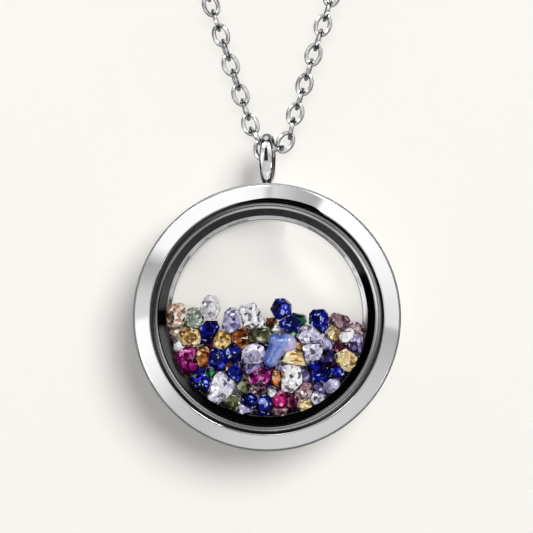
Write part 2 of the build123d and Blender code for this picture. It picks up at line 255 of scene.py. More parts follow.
def studio_tone(shader):
    """Tone of the studio by the direction in which a ray leaves."""
    direction = shader.vector("NORMALIZE", shader.made("TexCoord")["Generated"])
    across, along, up = shader.made("SeparateXYZ", (direction,))
    off_axis = shader.math("ARCCOSINE", shader.math("MULTIPLY", along, -1.0))
    off_axis = shader.math("MULTIPLY", off_axis, 180 / math.pi)
    ring_stops = [(at / 360, tone / ring_peak) for at, tone in bearing_tones]
    ring = shader.tones(shader.bearing(across, up), ring_stops)
    ring = shader.math("MULTIPLY", ring, ring_peak)
    tone = blend(shader, off_axis, front_to_ring, front_tone, ring)
    tone = add_dark_panel(shader, tone, across, up)
    side = shader.steps(up, *overhead_heights, side_tone, overhead_tone)
    tone = blend(shader, off_axis, ring_to_side, tone, side)
    tone = blend(shader, off_axis, side_to_back, tone, back_tone)
    rear = shader.steps(up, *rear_heights, rear_low_tone, rear_high_tone)
    tone = blend(shader, off_axis, back_to_rear, tone, rear)
    for lamp_off_axis, lamp_bearing, lamp_radius, strength in lamps:
        towards = direction_at(lamp_off_axis, lamp_bearing)
        cosine = shader.vector("DOT_PRODUCT", direction, towards, output=1)
        edge = math.cos(math.radians(lamp_radius))
        glow = shader.steps(cosine, edge - lamp_blur, edge + lamp_blur, 0.0, strength)
        tone = shader.math("ADD", tone, glow)
    return tone


def make_world():
    """The studio for mirrors, an even fill for matt surfaces, and a plain tone for the camera."""
    world = bpy.data.worlds.new("studio")
    bpy.context.scene.world = world
    shader = Shader(world, "ShaderNodeOutputWorld")
    ray = shader.made("LightPath")
    studio, fill, plain = (
        shader.made("Background", (colour,))[0]
        for colour in (studio_tone(shader), grey(fill_tone), plain_background)
    )
    lit = shader.made("MixShader", (ray["Is Diffuse Ray"], studio, fill))[0]
    shown = shader.made("MixShader", (ray["Is Camera Ray"], lit, plain))[0]
    shader.link(shown, shader.output)
    world.cycles.sampling_method = "NONE"


# Stage: a pale wall close behind, seen from the front only, and a pale floor
wall_depth = 5.5 * MM
floor_drop = 36 * MM
stage_half = 1.6
wall_colour = (0.945, 0.922, 0.882, 1)
floor_colour = (0.86, 0.85, 0.83, 1)
# Broad far lights: degrees off the line of sight, bearing, strength and how wide they look
far_lights = {
    "key": (33.0, 46.0, 2.20, 32.0),
    "front_light": (2.0, 90.0, 0.62, 18.0),
    "rear_light": (148.0, 125.0, 2.2, 30.0),
}
# Lights on the wall in the window: bearing, distance out, length and width in mm, and watts
window_lights = [
    (225.0, 3.5, 16.0, 18.0, 0.000062),
    (40.0, 9.6, 20.0, 7.0, 0.00025),
    (100.0, 9.8, 14.0, 5.0, 0.00006),
]
window_light_gap = 0.15 * MM


def stage_plane(name, corners, material):
    mesh = bpy.data.meshes.new(name)
    mesh.from_pydata(corners, [], [(0, 1, 2, 3)])
    mesh.materials.append(material)
    plane = add_object(name, mesh)
    plane.visible_glossy = False
    return plane


def make_stage():
    wall_paint, shader = surface("wall_paint", Base_Color=wall_colour, Roughness=0.9, Specular_IOR_Level=0.1)
    from_behind = shader.made("NewGeometry")["Backfacing"]
    clear = shader.made("BsdfTransparent")[0]
    paint = shader.principled.outputs[0]
    shader.link(shader.made("MixShader", (from_behind, paint, clear))[0], shader.output)
    floor_paint, _ = surface("floor_paint", Base_Color=floor_colour, Roughness=0.85)
    half = stage_half
    low = case_low.z - floor_drop
    wall_corners = [(-half, low), (half, low), (half, half), (-half, half)]
    wall = stage_plane("wall", [(x, wall_depth, z) for x, z in wall_corners], wall_paint)
    wall.visible_shadow = False
    # The wall swings with the locket, which would else pass through it
    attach(wall, "locket")
    floor_corners = [(-half, -half), (half, -half), (half, half), (-half, half)]
    floor = stage_plane("floor", [(x, y, low) for x, y in floor_corners], floor_paint)
    floor.visible_diffuse = False


def add_light(name, kind, direction, power, place):
    data = bpy.data.lights.new(name, kind)
    data.energy = power
    light = add_object(name, data)
    light.location = place
    light.rotation_euler = Vector(direction).to_track_quat("Z", "Y").to_euler()
    light.visible_camera = False
    light.visible_glossy = False
    return light


def make_lights():
    aim = Vector((0, 0, centre_height))
    for name, (off_axis, bearing, strength, spread) in far_lights.items():
        light = add_light(name, "SUN", direction_at(off_axis, bearing), strength, aim)
        light.data.angle = math.radians(spread)
    for number, (bearing, off_centre, length, width, power) in enumerate(window_lights, 1):
        across, _, up = direction_at(90, bearing)
        place = aim + Vector((across, 0, up)) * off_centre * MM
        place.y = case_high.y + window_light_gap
        light = add_light(f"window_light_{number}", "AREA", (0, -1, 0), power, place)
        light.data.shape = "ELLIPSE"
        light.data.size = length * MM
        light.data.size_y = width * MM
        turn = Matrix.Rotation(math.radians(90 - bearing), 3, "Y")
        light.rotation_euler = (turn @ light.rotation_euler.to_matrix()).to_euler()
        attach(light, "locket")


# Metal and glass. Lists of tones run by bearing, as a share of a turn from the right
steel_tone = grey(0.90)
# The black crescent at the bezel's inner edge, a painted reflection: its width by bearing, and measures in
# mm
reflection_crescent_tones = [
    (0.0, 0.0), (0.168, 0.05), (0.185, 1.0), (0.25, 0.75), (0.285, 0.25), (0.32, 0.0), (1.0, 0.0),
]
reflection_crescent_width = 0.36
reflection_crescent_start = 0.02
reflection_crescent_blur = (-0.02, 0.04)
reflection_crescent_colour = grey(0.004)
# The satin of the outer edge starts and is full this far inside the case's outline
satin_edges = (0.34, 0.20)
# Heights from the middle between which the lip passes from painted shade to its lit tone
lip_shade_heights = (-3.5, 0.5)
lip_shaded_colour = (0.10, 0.06, 0.07, 1)
lip_lit_colour = grey(0.95)
# Painted reflection on the seat: its tone by bearing
seat_reflection_tones = [
    (0.0, 0.60), (0.08, 0.95), (0.25, 1.0), (0.30, 0.80), (0.35, 0.55), (0.42, 0.40), (0.48, 0.27),
    (0.54, 0.50), (0.59, 0.50), (0.66, 0.32), (0.75, 0.30), (0.88, 0.27), (0.96, 0.45), (1.0, 0.60),
]
line_density = 24.0
# The painted shade of the groove by the pane starts and is full this far inside the pane's ground edge; its
# tones by bearing lift it
groove_shade_edges = (0.12, 0.07)
groove_shade_tones = [
    (0.0, 0.35), (0.10, 0.10), (0.45, 0.10), (0.60, 0.4), (0.70, 0.8), (0.86, 0.8), (1.0, 0.35),
]
# Shade on the seat's inner edge, by bearing
shade_tones = [(0.36, 0.0), (0.48, 1.0), (0.78, 1.0), (0.84, 0.0)]
shade_width = 0.21
shade_start = 0.05
# Tone of the front's inner wall by bearing: dark, with a painted sheen along the top and the left
dark_wall_sheen_tones = [
    (0.0, 0.002), (0.062, 0.002), (0.075, 0.085), (0.13, 0.13), (0.25, 0.09), (0.40, 0.075),
    (0.46, 0.11), (0.485, 0.08), (0.492, 0.002), (0.512, 0.002), (0.52, 0.14), (0.59, 0.15),
    (0.625, 0.02), (0.65, 0.002), (1.0, 0.002),
]
# Tone of the gap round the front glass by bearing: painted shade, with painted glimmers
gap_shade_tones = [
    (0.0, 0.06), (0.10, 0.03), (0.14, 0.003), (0.26, 0.004), (0.30, 0.12), (0.54, 0.14),
    (0.60, 0.03), (0.78, 0.02), (0.84, 0.10), (0.96, 0.18), (1.0, 0.06),
]
# Tone of the panes' ground edge by bearing, a painted reflection
ground_edge_reflection_tones = [
    (0.0, 0.60), (0.08, 0.95), (0.25, 1.0), (0.30, 0.60), (0.37, 0.09), (0.50, 0.09), (0.55, 0.36),
    (0.62, 0.50), (0.71, 0.42), (0.76, 0.55), (0.83, 0.55), (0.92, 0.22), (1.0, 0.60),
]
# The ground edge of a pane starts and is full this far inside its bevel's radius
ground_edges = (0.03, -0.02)
ground_strength = 0.85
ground_roughness = 0.18
glass_roughness = 0.02
glass_tint = grey(0.02)


def polar_place(shader, sink=0.0):
    """Distance in mm from a line along Y, sink mm below the locket's middle, and bearing."""
    across, _, height = shader.made("SeparateXYZ", (shader.place(),))
    up = shader.math("SUBTRACT", height, centre_height - sink * MM)
    flat = shader.made("CombineXYZ", (across, up))[0]
    reach = shader.vector("LENGTH", flat, output=1)
    return shader.math("MULTIPLY", reach, 1 / MM), shader.bearing(across, up)


def mirror_steel(name):
    """Mirror-polished steel with faint haze, with its shader and roughness for additions."""
    material, shader = surface(name, Base_Color=steel_tone, Metallic=1.0, Roughness=0.05)
    haze = shader.noise(shader.place(), scale=420, detail=3)
    roughness = shader.steps(haze, low=0.35, high=0.75, at_low=0.035, at_high=0.085)
    shader.feed("Roughness", roughness)
    shader.feed("Normal", shader.bump(haze, distance=0.02 * MM, strength=0.06))
    return material, shader, roughness


def bezel_steel():
    """The bezel's steel, with a black painted reflection along the top of its inner edge, and satin on its
    outer edge.
    """
    material, shader, mirror = mirror_steel("bezel_steel")
    radius, bearing = polar_place(shader)
    # Painted reflection: a black crescent along the bezel's inner edge, widest at the top
    width = shader.tones(bearing, reflection_crescent_tones)
    inner_edge = outer_radius - bezel_width + reflection_crescent_start
    limit = shader.math("MULTIPLY_ADD", width, reflection_crescent_width, inner_edge)
    beyond = shader.steps(shader.math("SUBTRACT", radius, limit), *reflection_crescent_blur)
    shader.feed("Base Color", shader.mix(beyond, reflection_crescent_colour, steel_tone))
    low, high = (outer_radius - inside for inside in satin_edges)
    satin = shader.steps(radius, low, high, at_high=0.5)
    shader.feed("Roughness", shader.math("ADD", mirror, satin))
    return material


def lip_steel():
    """Satin lip of the back, seen inside the glass, with painted shade that makes it darker towards the
    bottom.
    """
    material, shader = surface("lip_steel", Metallic=1.0, Roughness=0.18)
    height = shader.made("SeparateXYZ", (shader.place(),))[2]
    rise = shader.math("MULTIPLY", shader.math("SUBTRACT", height, centre_height), 1 / MM)
    # Painted shade: the lip darkens towards the bottom
    share = shader.steps(rise, *lip_shade_heights)
    shader.feed("Base Color", shader.mix(share, lip_shaded_colour, lip_lit_colour))
    radius, _ = polar_place(shader)
    shader.feed("Normal", shader.lean(radius, seat_lean))
    return material


def turned_seat():
    """Seat of the front glass: fine turned lines, a painted reflection whose tone changes round the ring,
    and painted shade in the groove by the pane and along its inner edge.
    """
    material, shader = surface("turned_seat", Metallic=1.0, Roughness=0.18)
    radius, bearing = polar_place(shader, pattern_sink)
    lines = shader.math("SINE", shader.math("MULTIPLY", radius, line_density))
    bright = shader.steps(lines, low=-0.6, high=0.9, at_low=0.65, at_high=1.1)
    low, high = (glass_edge_radius - inside for inside in groove_shade_edges)
    # Painted shade in the groove by the pane, lifted at some bearings
    groove_shade = shader.steps(radius, low, high, at_low=1.0, at_high=0.0)
    groove_shade = shader.math("MAXIMUM", groove_shade, shader.tones(bearing, groove_shade_tones))
    bright = shader.math("MULTIPLY", bright, groove_shade)
    shade = shader.tones(bearing, shade_tones)
    start = shader.math("MULTIPLY_ADD", shade, shade_width, seat_radius - shade_start)
    beyond = shader.math("SUBTRACT", radius, start)
    beyond = shader.steps(beyond, low=-0.03, high=0.03, at_low=0.03)
    bright = shader.math("MULTIPLY", bright, beyond)
    # Painted reflection: the seat's tone by bearing, times the lines and the painted shade
    shader.feed("Base Color", shader.scaled(shader.tones(bearing, seat_reflection_tones), bright))
    shader.feed("Normal", shader.lean(radius, seat_lean))
    return material


def dark_wall():
    """Inner wall of the front, dark, with a painted sheen along the top and the left."""
    material, shader = surface("dark_wall", Roughness=0.4, Specular_IOR_Level=0.0)
    _, bearing = polar_place(shader)
    # Painted sheen along the top and the left
    shader.feed("Base Color", shader.tones(bearing, dark_wall_sheen_tones))
    return material


def black_gap():
    """Deep narrow gap round the front glass, dark as painted shade, with a painted glimmer where a little of
    the studio gets in.
    """
    material, shader = surface("black_gap", Roughness=0.5, Specular_IOR_Level=0.1)
    _, bearing = polar_place(shader)
    # Painted shade and glimmers by bearing
    shader.feed("Base Color", shader.tones(bearing, gap_shade_tones))
    return material


def chain_steel():
    """Polished wire, a touch darker in patches."""
    material, shader = surface("chain_steel", Metallic=1.0, Roughness=0.13)
    wear = shader.noise(shader.place(), scale=900, detail=3)
    shader.feed("Base Color", shader.tones(wear, [(0.3, 0.52), (0.62, 0.72)]))
    shader.feed("Normal", shader.bump(wear, distance=0.02 * MM, strength=0.1))
    return material


def pane_glass():
    """Clear pane: light passes, its gloss shows at a slant, and its ground edge is pale, with a painted
    reflection whose tone changes round the ring.
    """
    material, shader = surface("pane_glass", Roughness=glass_roughness, IOR=1.5, Alpha=0.08)
    gloss = shader.steps(shader.slant(0.35), low=0.25, high=1.0, at_low=0.012, at_high=0.6)
    radius, bearing = polar_place(shader, pattern_sink)
    low, high = (glass_edge_radius - inside for inside in ground_edges)
    edge = shader.steps(radius, low, high, at_high=ground_strength)
    shader.feed("Alpha", shader.math("MAXIMUM", gloss, edge))
    shader.feed("Metallic", edge)
    shader.feed("Roughness", shader.math("MULTIPLY_ADD", edge, ground_roughness, glass_roughness))
    beyond = shader.math("MAXIMUM", shader.math("SUBTRACT", radius, low), 0.0)
    shader.feed("Normal", shader.lean(beyond, seat_lean))
    # Painted reflection on the ground edge, by bearing
    ground = shader.tones(bearing, ground_edge_reflection_tones)
    shader.feed("Base Color", shader.mix(edge, glass_tint, ground))
    return material


# Folds sharper than this stay crisp on smooth pieces
crisp_angle = math.radians(28)


def add_mesh(name, verts, faces, materials, face_materials=None):
    mesh = bpy.data.meshes.new(name)
    mesh.from_pydata(verts, [], faces)
    for material in materials:
        mesh.materials.append(material)
    if face_materials:
        mesh.polygons.foreach_set("material_index", face_materials)
    mesh.polygons.foreach_set("use_smooth", [True] * len(mesh.polygons))
    mesh.set_sharp_from_angle(angle=crisp_angle)
    mesh.update()
    return add_object(name, mesh)


def circle_point(radius, step, steps):
    """Point on a circle, a number of steps round it."""
    angle = 2 * math.pi * step / steps
    return radius * math.cos(angle), radius * math.sin(angle)


def grid_faces(rings, corners, closed=True):
    """Faces between rings of corners; closed joins the last ring to the first."""
    faces = []
    for ring in range(rings if closed else rings - 1):
        after = (ring + 1) % rings
        for corner in range(corners):
            beside = (corner + 1) % corners
            places = ((ring, corner), (after, corner), (after, beside), (ring, beside))
            faces.append([row * corners + column for row, column in places])
    return faces


def turn_faces_outward(piece):
    bm = bmesh.new()
    bm.from_mesh(piece.data)
    bmesh.ops.recalc_face_normals(bm, faces=bm.faces)
    bm.to_mesh(piece.data)
    bm.free()


# Front bezel, turned from its section. Radii and depths in millimetres; depth is along Y
case_front = -case_high.y / MM
outer_radius = (bezel_high.x - bezel_low.x) / 2 / MM
bezel_width = 2.0
bezel_fall = 0.4
bezel_crown = 0.010
inner_round = 0.14
inner_round_start = math.radians(-70)
inner_round_steps = 7
edge_round = 0.5
face_steps = 14
round_steps = 10
skirt_end = bezel_high.y / MM
skirt_length = 2.1
skirt_radius = 13.4
parting = skirt_end - skirt_length
small_bevel = 0.05
glass_back = glass_high.y / MM
glass_radius = (glass_high.x - glass_low.x) / 2 / MM
glass_bevel = 0.15
glass_edge_radius = glass_radius - glass_bevel
# The photograph's seat and glass edge lie this far below the bezel's middle
pattern_sink = 0.06
# Slope of the seat, the lip and the glass's ground edge towards the middle
seat_lean = 0.23
# Room between a pane and the steel behind it
pane_room = 0.01
seat_width = 0.6
seat_radius = glass_radius - seat_width
# How far the dark wall draws in from the seat to the chamber
wall_slope = 0.68
chamber_radius = seat_radius - wall_slope
turned_sides = 240
chamber_bevel = 0.05
seat_bevel = (0.03, 0.04)
# Numbers of the materials on the bezel's ring
STEEL, SEAT, WALL, GAP = range(4)


def arc(centre, radius, start, end, steps):
    """Points of a round in a section, without its end; at angle 0 they face the front."""
    points = []
    for step in range(steps):
        angle = start + (end - start) * step / steps
        points.append((centre[0] + radius * math.sin(angle), centre[1] - radius * math.cos(angle)))
    return points


def bezel_section():
    """Points of the ring's section, each with the material of the span that follows it."""
    inner_radius = outer_radius - bezel_width
    slope = math.atan2(bezel_fall, bezel_width)
    face_start = inner_radius + inner_round * (math.sin(slope) + 1)
    face_front = case_front + (face_start - inner_radius) * math.tan(slope)
    inner_centre = (
        face_start - inner_round * math.sin(slope),
        face_front + inner_round * math.cos(slope),
    )
    round_centre = (
        outer_radius - edge_round,
        case_front + (bezel_width - edge_round) * math.tan(slope) + edge_round / math.cos(slope),
    )
    outline = arc(inner_centre, inner_round, inner_round_start, slope, inner_round_steps)
    face_end = round_centre[0] + edge_round * math.sin(slope)
    for step in range(face_steps):
        share = step / face_steps
        radius = face_start + (face_end - face_start) * share
        depth = case_front + (radius - inner_radius) * math.tan(slope)
        outline.append((radius, depth - bezel_crown * 4 * share * (1 - share)))
    outline += arc(round_centre, edge_round, slope, math.pi / 2, round_steps)
    outline += [
        (outer_radius, round_centre[1]),
        (outer_radius, parting - small_bevel),
        (outer_radius - small_bevel, parting),
        (skirt_radius, parting),
        (skirt_radius, skirt_end),
    ]
    inside = [
        ((chamber_radius + chamber_bevel, skirt_end), WALL),
        ((seat_radius - seat_bevel[0], glass_back + seat_bevel[1]), WALL),
        ((seat_radius, glass_back + pane_room), SEAT),
        ((glass_radius, glass_back + pane_room), GAP),
        ((inner_radius, glass_back + pane_room), GAP),
    ]
    return [(point, STEEL) for point in outline] + inside


def turned(name, section, materials):
    """A ring round the locket's axis, turned from its section."""
    verts = []
    for side in range(turned_sides):
        for (radius, depth), _ in section:
            across, up = circle_point(radius, side, turned_sides)
            verts.append((across * MM, depth * MM, centre_height + up * MM))
    face_materials = [material for _, material in section] * turned_sides
    faces = grid_faces(turned_sides, len(section))
    return add_mesh(name, verts, faces, materials, face_materials)


def make_bezel():
    ring = turned(
        "bezel_ring", bezel_section(), [bezel_steel(), turned_seat(), dark_wall(), black_gap()]
    )
    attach(ring, "front")
    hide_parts("front_bezel")


# Back ring: the bezel meets it at the parting, and its lip holds the back glass
parting_gap = 0.05
back_start = parting + parting_gap
back_round_steps = 8
recess_radius = 13.5
recess_room = 0.05
# Number of the lip's material on the back ring
LIP = 1
case_back = case_high.y / MM
back_glass_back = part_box("back_glass")[1].y / MM
recess_floor = skirt_end + recess_room
lip_width = 0.4
back_window_radius = chamber_radius - lip_width
window_bevel = 0.08
lip_bevel = 0.06


def back_section():
    """Points of the back ring's section, each with the material of the span after it."""
    round_centre = (outer_radius - edge_round, case_back - edge_round)
    outline = [(outer_radius - small_bevel, back_start), (outer_radius, back_start + small_bevel)]
    outline += arc(round_centre, edge_round, math.pi / 2, math.pi, back_round_steps)
    outline.append((round_centre[0], case_back))
    lip = [
        (back_window_radius + window_bevel, case_back),
        (back_window_radius, case_back - window_bevel),
        (back_window_radius, back_glass_back + lip_bevel),
        (back_window_radius + lip_bevel, back_glass_back),
        (chamber_radius, back_glass_back),
    ]
    recess = [(chamber_radius, recess_floor), (recess_radius, recess_floor), (recess_radius, back_start)]
    spans = ((outline, STEEL), (lip, LIP), (recess, STEEL))
    return [(point, material) for points, material in spans for point in points]


# Bail, in millimetres: a drop from the side, a leaf from the front, a broader leaf behind
bail_hole_radius = 1.45
bail_outer_radius = 1.95
bail_widest_below_axis = 1.3
bail_rise = 5.84
# Widths of a leaf at the foot, the widest place and the top
front_leaf = (0.24, 1.52, 0.45)
back_leaf = (1.20, 1.84, 1.65)
# How steeply a leaf draws in below and above its widest place
foot_power = 3.0
top_power = 2.2
bail_twist = 0.055
bail_foot_half_depth = 0.7
bail_tip_radius = 0.25
bail_tip_rise = 1.1
end_flatness = 0.6
bail_steps = 120
bail_around = 28
# Shares of the way round the bail where its arc and its curve end
arc_share = 0.20
curve_share = 0.44
axis_rise = swing_axis_height / MM - centre_height / MM
case_top = outer_radius
solder_sink = 0.3
# Radius and height above the case's top
solder_profile = [
    (0.62, -0.35), (0.60, -0.02), (0.46, 0.05), (0.35, 0.15), (0.29, 0.30), (0.24, 0.42),
]
solder_sides = 32


def leaf_width(leaf, up):
    """Half width of a leaf at a height: full about its widest place, rounded off to its ends."""
    foot, widest, top = (width / 2 for width in leaf)
    middle = axis_rise - bail_widest_below_axis
    if up < middle:
        share = (middle - up) / (middle - case_top + solder_sink)
        end, power = foot, foot_power
    else:
        share = (up - middle) / (case_top + bail_rise - middle)
        end, power = top, top_power
    return widest - (widest - end) * min(share, 1.0) ** power


def drop_outline(radius, end_radius, end_height, share):
    """Depth and height on the bail's side outline, by the share of the way round from the top."""
    side = 1 if share < 0.5 else -1
    share = share if share < 0.5 else 1 - share
    if share < arc_share:
        angle = math.pi / 2 * share / arc_share
        depth = radius * math.sin(angle)
        up = axis_rise + radius * math.cos(angle)
    elif share < curve_share:
        part = (share - arc_share) / (curve_share - arc_share)
        depth = radius - (radius - end_radius) * part**2
        up = axis_rise - (axis_rise - end_height) * part
    else:
        angle = math.pi / 2 * (share - curve_share) / (0.5 - curve_share)
        depth = end_radius * math.cos(angle)
        up = end_height - end_radius * end_flatness * math.sin(angle)
    return side * depth, up


def make_bail(steel):
    verts = []
    for step in range(bail_steps):
        share = step / bail_steps
        outer = drop_outline(bail_outer_radius, bail_foot_half_depth, case_top, share)
        inner = drop_outline(bail_hole_radius, bail_tip_radius, case_top + bail_tip_rise, share)
        for turn in range(bail_around):
            flat, wide = circle_point(1, turn, bail_around)
            depth = (inner[0] + outer[0]) / 2 + (outer[0] - inner[0]) / 2 * flat
            up = (inner[1] + outer[1]) / 2 + (outer[1] - inner[1]) / 2 * flat
            behind = (depth + bail_outer_radius) / (2 * bail_outer_radius)
            width = leaf_width(front_leaf, up) * (1 - behind) + leaf_width(back_leaf, up) * behind
            across = width * wide + bail_twist * depth
            verts.append((across * MM, depth * MM, centre_height + up * MM))
    return add_mesh("bail_band", verts, grid_faces(bail_steps, bail_around), [steel])


def make_solder():
    """Small flared foot of solder under the bail."""
    metal, _ = surface("solder", Base_Color=grey(0.22), Metallic=1.0, Roughness=0.3)
    verts = []
    for radius, rise in solder_profile:
        for side in range(solder_sides):
            across, depth = circle_point(radius, side, solder_sides)
            verts.append((across * MM, depth * MM, centre_height + (case_top + rise) * MM))
    faces = grid_faces(len(solder_profile), solder_sides, closed=False)
    return add_mesh("bail_solder", verts, faces, [metal])


def make_back(steel):
    ring = turned("back_ring", back_section(), [steel, lip_steel()])
    for piece in (ring, make_bail(steel), make_solder()):
        turn_faces_outward(piece)
        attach(piece, "locket")
        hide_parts("back_case")


# Chain. Links in millimetres, in the loop's plane, measured from the swing's axis
link_width = 2.05
link_wire = 0.50
link_length = 2.78
link_steps = 26
wire_sides = 8
turn_radius = 1.95
side_lean = math.radians(17.8)
top_radius = (chain_high.x - chain_low.x) / 2 / MM - link_width / 2
side_length = (top_radius - turn_radius) / math.tan(side_lean)
turn_length = turn_radius * (math.pi / 2 - side_lean)
top_centre = turn_radius + (top_radius - turn_radius) / math.sin(side_lean)
last_link_across = 6.865
spans_each_side = 137
route_step = 0.1
roll_slack = 7
roll_seed = 5
# Links in the bail, laid as in the photograph: across, up, direction in degrees, seen face-on
turn_links = [
    (-1.21, 1.54, -56, False),
    (-0.50, -0.02, -75, True),
    (0.70, 0.03, 17, False),
    (2.08, 0.90, 58, True),
    (2.80, 2.46, 78, False),
]
# Runs at which the links of the two sides start, and how the photograph's chain is pulled over
first_left = 4.10
first_right = 5.37
pull_right = 0.48
pull_fade = 45.0


def side_point(run, side):
    """Point of the chain at a run along the route from its lowest point; side is 1 or -1."""
    if run < turn_length + side_length:
        along = run - turn_length
        across = turn_radius * math.cos(side_lean) + along * math.sin(side_lean)
        up = turn_radius * (1 - math.sin(side_lean)) + along * math.cos(side_lean)
    else:
        angle = (run - turn_length - side_length) / top_radius - side_lean
        across = top_radius * math.cos(angle)
        up = top_centre + top_radius * math.sin(angle)
    drift = pull_right * math.exp(-(run - first_left) / pull_fade)
    return Vector((side * across + drift, 0, up))


def link_rings():
    """One oval link lying along X in the XZ plane, as rings of wire sections."""
    long_half, wide_half = (link_length - link_wire) / 2, (link_width - link_wire) / 2
    rings = []
    for step in range(link_steps):
        along, beside = circle_point(1, step + 0.5, link_steps)
        middle = Vector((long_half * along, 0, wide_half * beside))
        outward = Vector((wide_half * along, 0, long_half * beside)).normalized()
        ring = []
        for side in range(wire_sides):
            out, over = circle_point(1, side, wire_sides)
            ring.append(middle + (outward * out + Vector((0, over, 0))) * (link_wire / 2))
        rings.append(ring)
    return rings


def chain_places():
    """Middle, direction and roll of every link, from the turn up both sides."""
    variation = random.Random(roll_seed)
    places = []
    for across, up, direction, face_on in turn_links:
        angle = math.radians(direction)
        forward = Vector((math.cos(angle), 0, math.sin(angle)))
        places.append((Vector((across, 0, up)), forward, 0.0 if face_on else math.pi / 2))
    last_angle = math.acos(last_link_across / top_radius)
    last_run = turn_length + side_length + (last_angle + side_lean) * top_radius
    for side, first_run in ((-1, first_left), (1, first_right)):
        for number in range(spans_each_side + 1):
            run = first_run + (last_run - first_run) * number / spans_each_side
            ahead = side_point(run + route_step, side) - side_point(run - route_step, side)
            roll = 0.0 if number % 2 == 0 else math.pi / 2
            roll += math.radians(variation.uniform(-roll_slack, roll_slack))
            places.append((side_point(run, side), ahead.normalized(), roll))
    return places


def make_chain(wire):
    rings = link_rings()
    link_faces = grid_faces(link_steps, wire_sides)
    base = Vector((0, 0, swing_axis_height))
    verts, faces = [], []
    for middle, forward, roll in chain_places():
        across = Vector((0, 1, 0)).cross(forward)
        turn = Matrix((forward, Vector((0, 1, 0)), -across)).transposed()
        turn = turn @ Matrix.Rotation(roll, 3, "X")
        first = len(verts)
        verts += [base + (middle + turn @ point) * MM for ring in rings for point in ring]
        faces += [[first + corner for corner in face] for face in link_faces]
    links = add_mesh("chain_links", verts, faces, [wire])
    turn_faces_outward(links)
    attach(links, "loop")
    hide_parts("chain")
    return links


def spare_key_light(links):
    """Lets the key light through the chain, whose shadow in the photograph is faint."""
    passed = bpy.data.collections.new("passed_by_key")
    passed.objects.link(links)
    passed.collection_objects[0].light_linking.link_state = "EXCLUDE"
    bpy.data.objects["key"].light_linking.blocker_collection = passed


# Stones. Each palette runs from the darkest facets to the painted glints, in hundredths of full light
palettes = {
    "sapphire": [(0.03, 0.03, 0.5), (0.08, 0.1, 6), (0.15, 0.3, 20), (0.8, 1.8, 42), (55, 65, 100)],
    "dusk_blue": [(0.2, 0.1, 1), (1.2, 0.8, 5), (3, 2, 14), (10, 6, 30), (40, 30, 70)],
    "violet": [(1.2, 0.6, 3), (8, 5.5, 16), (20, 16, 36), (44, 38, 62), (88, 86, 95)],
    "lilac": [(8, 7, 18), (28, 25, 46), (52, 48, 72), (76, 73, 90), (98, 97, 100)],
    "pale_lilac": [(7, 6, 15), (38, 34, 54), (78, 76, 87), (95, 94, 98), (100, 100, 100)],
    "clear": [(16, 14, 17), (62, 60, 64), (90, 89, 91), (98, 98, 98), (100, 100, 100)],
    "peach": [(9, 3.5, 2), (36, 20, 13), (72, 54, 42), (92, 84, 74), (100, 98, 95)],
    "sage": [(3, 4, 3), (12, 14, 11), (28, 32, 26), (52, 56, 50), (90, 92, 88)],
    "olive": [(1.4, 1.8, 1), (7, 8, 4), (17, 19, 10), (38, 41, 27), (90, 90, 74)],
    "green": [(0.1, 1, 0.4), (0.3, 5, 2), (0.8, 14, 5), (5, 34, 14), (80, 95, 85)],
    "gold": [(5.5, 2, 0.4), (34, 18, 4), (72, 51, 19), (94, 83, 52), (100, 98, 88)],
    "honey": [(8, 2.5, 0.4), (38, 18, 3), (70, 44, 12), (92, 76, 40), (100, 97, 86)],
    "citrine": [(28, 14, 3), (66, 44, 14), (88, 70, 34), (97, 88, 58), (100, 99, 90)],
    "amber": [(3.5, 0.6, 0.1), (16, 3.5, 0.6), (40, 12, 3), (72, 37, 13), (100, 90, 70)],
    "magenta": [(2, 0.1, 1), (14, 0.3, 7), (36, 1.2, 20), (66, 22, 48), (100, 86, 94)],
    "hot_pink": [(10, 0.1, 3), (34, 0.2, 9), (58, 0.6, 17), (80, 3, 34), (100, 60, 80)],
    "mauve": [(4, 1.2, 1.8), (14, 6, 8), (32, 18, 22), (58, 42, 46), (98, 92, 94)],
    "maroon": [(0.6, 0.1, 0.2), (3, 0.3, 1), (9, 0.8, 3), (28, 4, 12), (80, 50, 62)],
    "brown": [(1.2, 0.4, 0.2), (6, 2.5, 1.2), (17, 8, 4), (40, 22, 12), (92, 80, 66)],
}
palette_full = 100
# Where along the tones each colour of a palette lies
tone_places = (0.0, 0.24, 0.44, 0.66, 0.86)
# Colours whose stones are mostly dark inside
deep_colours = "sapphire dusk_blue violet magenta maroon olive brown green amber".split()
deep_shift = 0.07
deep_gloss = 0.12
pale_gloss = 0.4
# Painted inner facets per mm, which stand in for reflections inside the stone, share of them that mirror,
# weight of the outer facets, inner ones' tilt
deep_cut = (1.9, 0.24, 0.42, 0.6)
pale_cut = (2.5, 0.22, 0.42, 0.6)
round_cut = (2.3, 0.16, 0.6, 0.4)
mirror_strength = 0.85
# Where the core and the rim of a painted inner facet lie, and the painted highlight and shade they add to
# its tone
cell_reach = (0.1, 0.75)
cell_highlight_and_shade = (0.06, -0.10)
# Numbers that give each facet a tone of its own, and each colour a pattern of its own
facet_mix = (3.17, 7.91, 5.23)
facet_scatter = 17.3
pattern_parts = (1.0, 2.3, 0.7)
pattern_step = 3.7
round_pattern = 8.1
# Thin lines between a pale stone's painted inner facets
line_edges = (0.02, 0.10)
line_strength = 0.7
line_share = 0.6
# Painted glints: bright specks, on coordinates that a noise bends
glint_cells = 4.4
glint_share = 0.035
glint_strength = 0.85
glint_bend = 1.2
bend_scale = 1.4
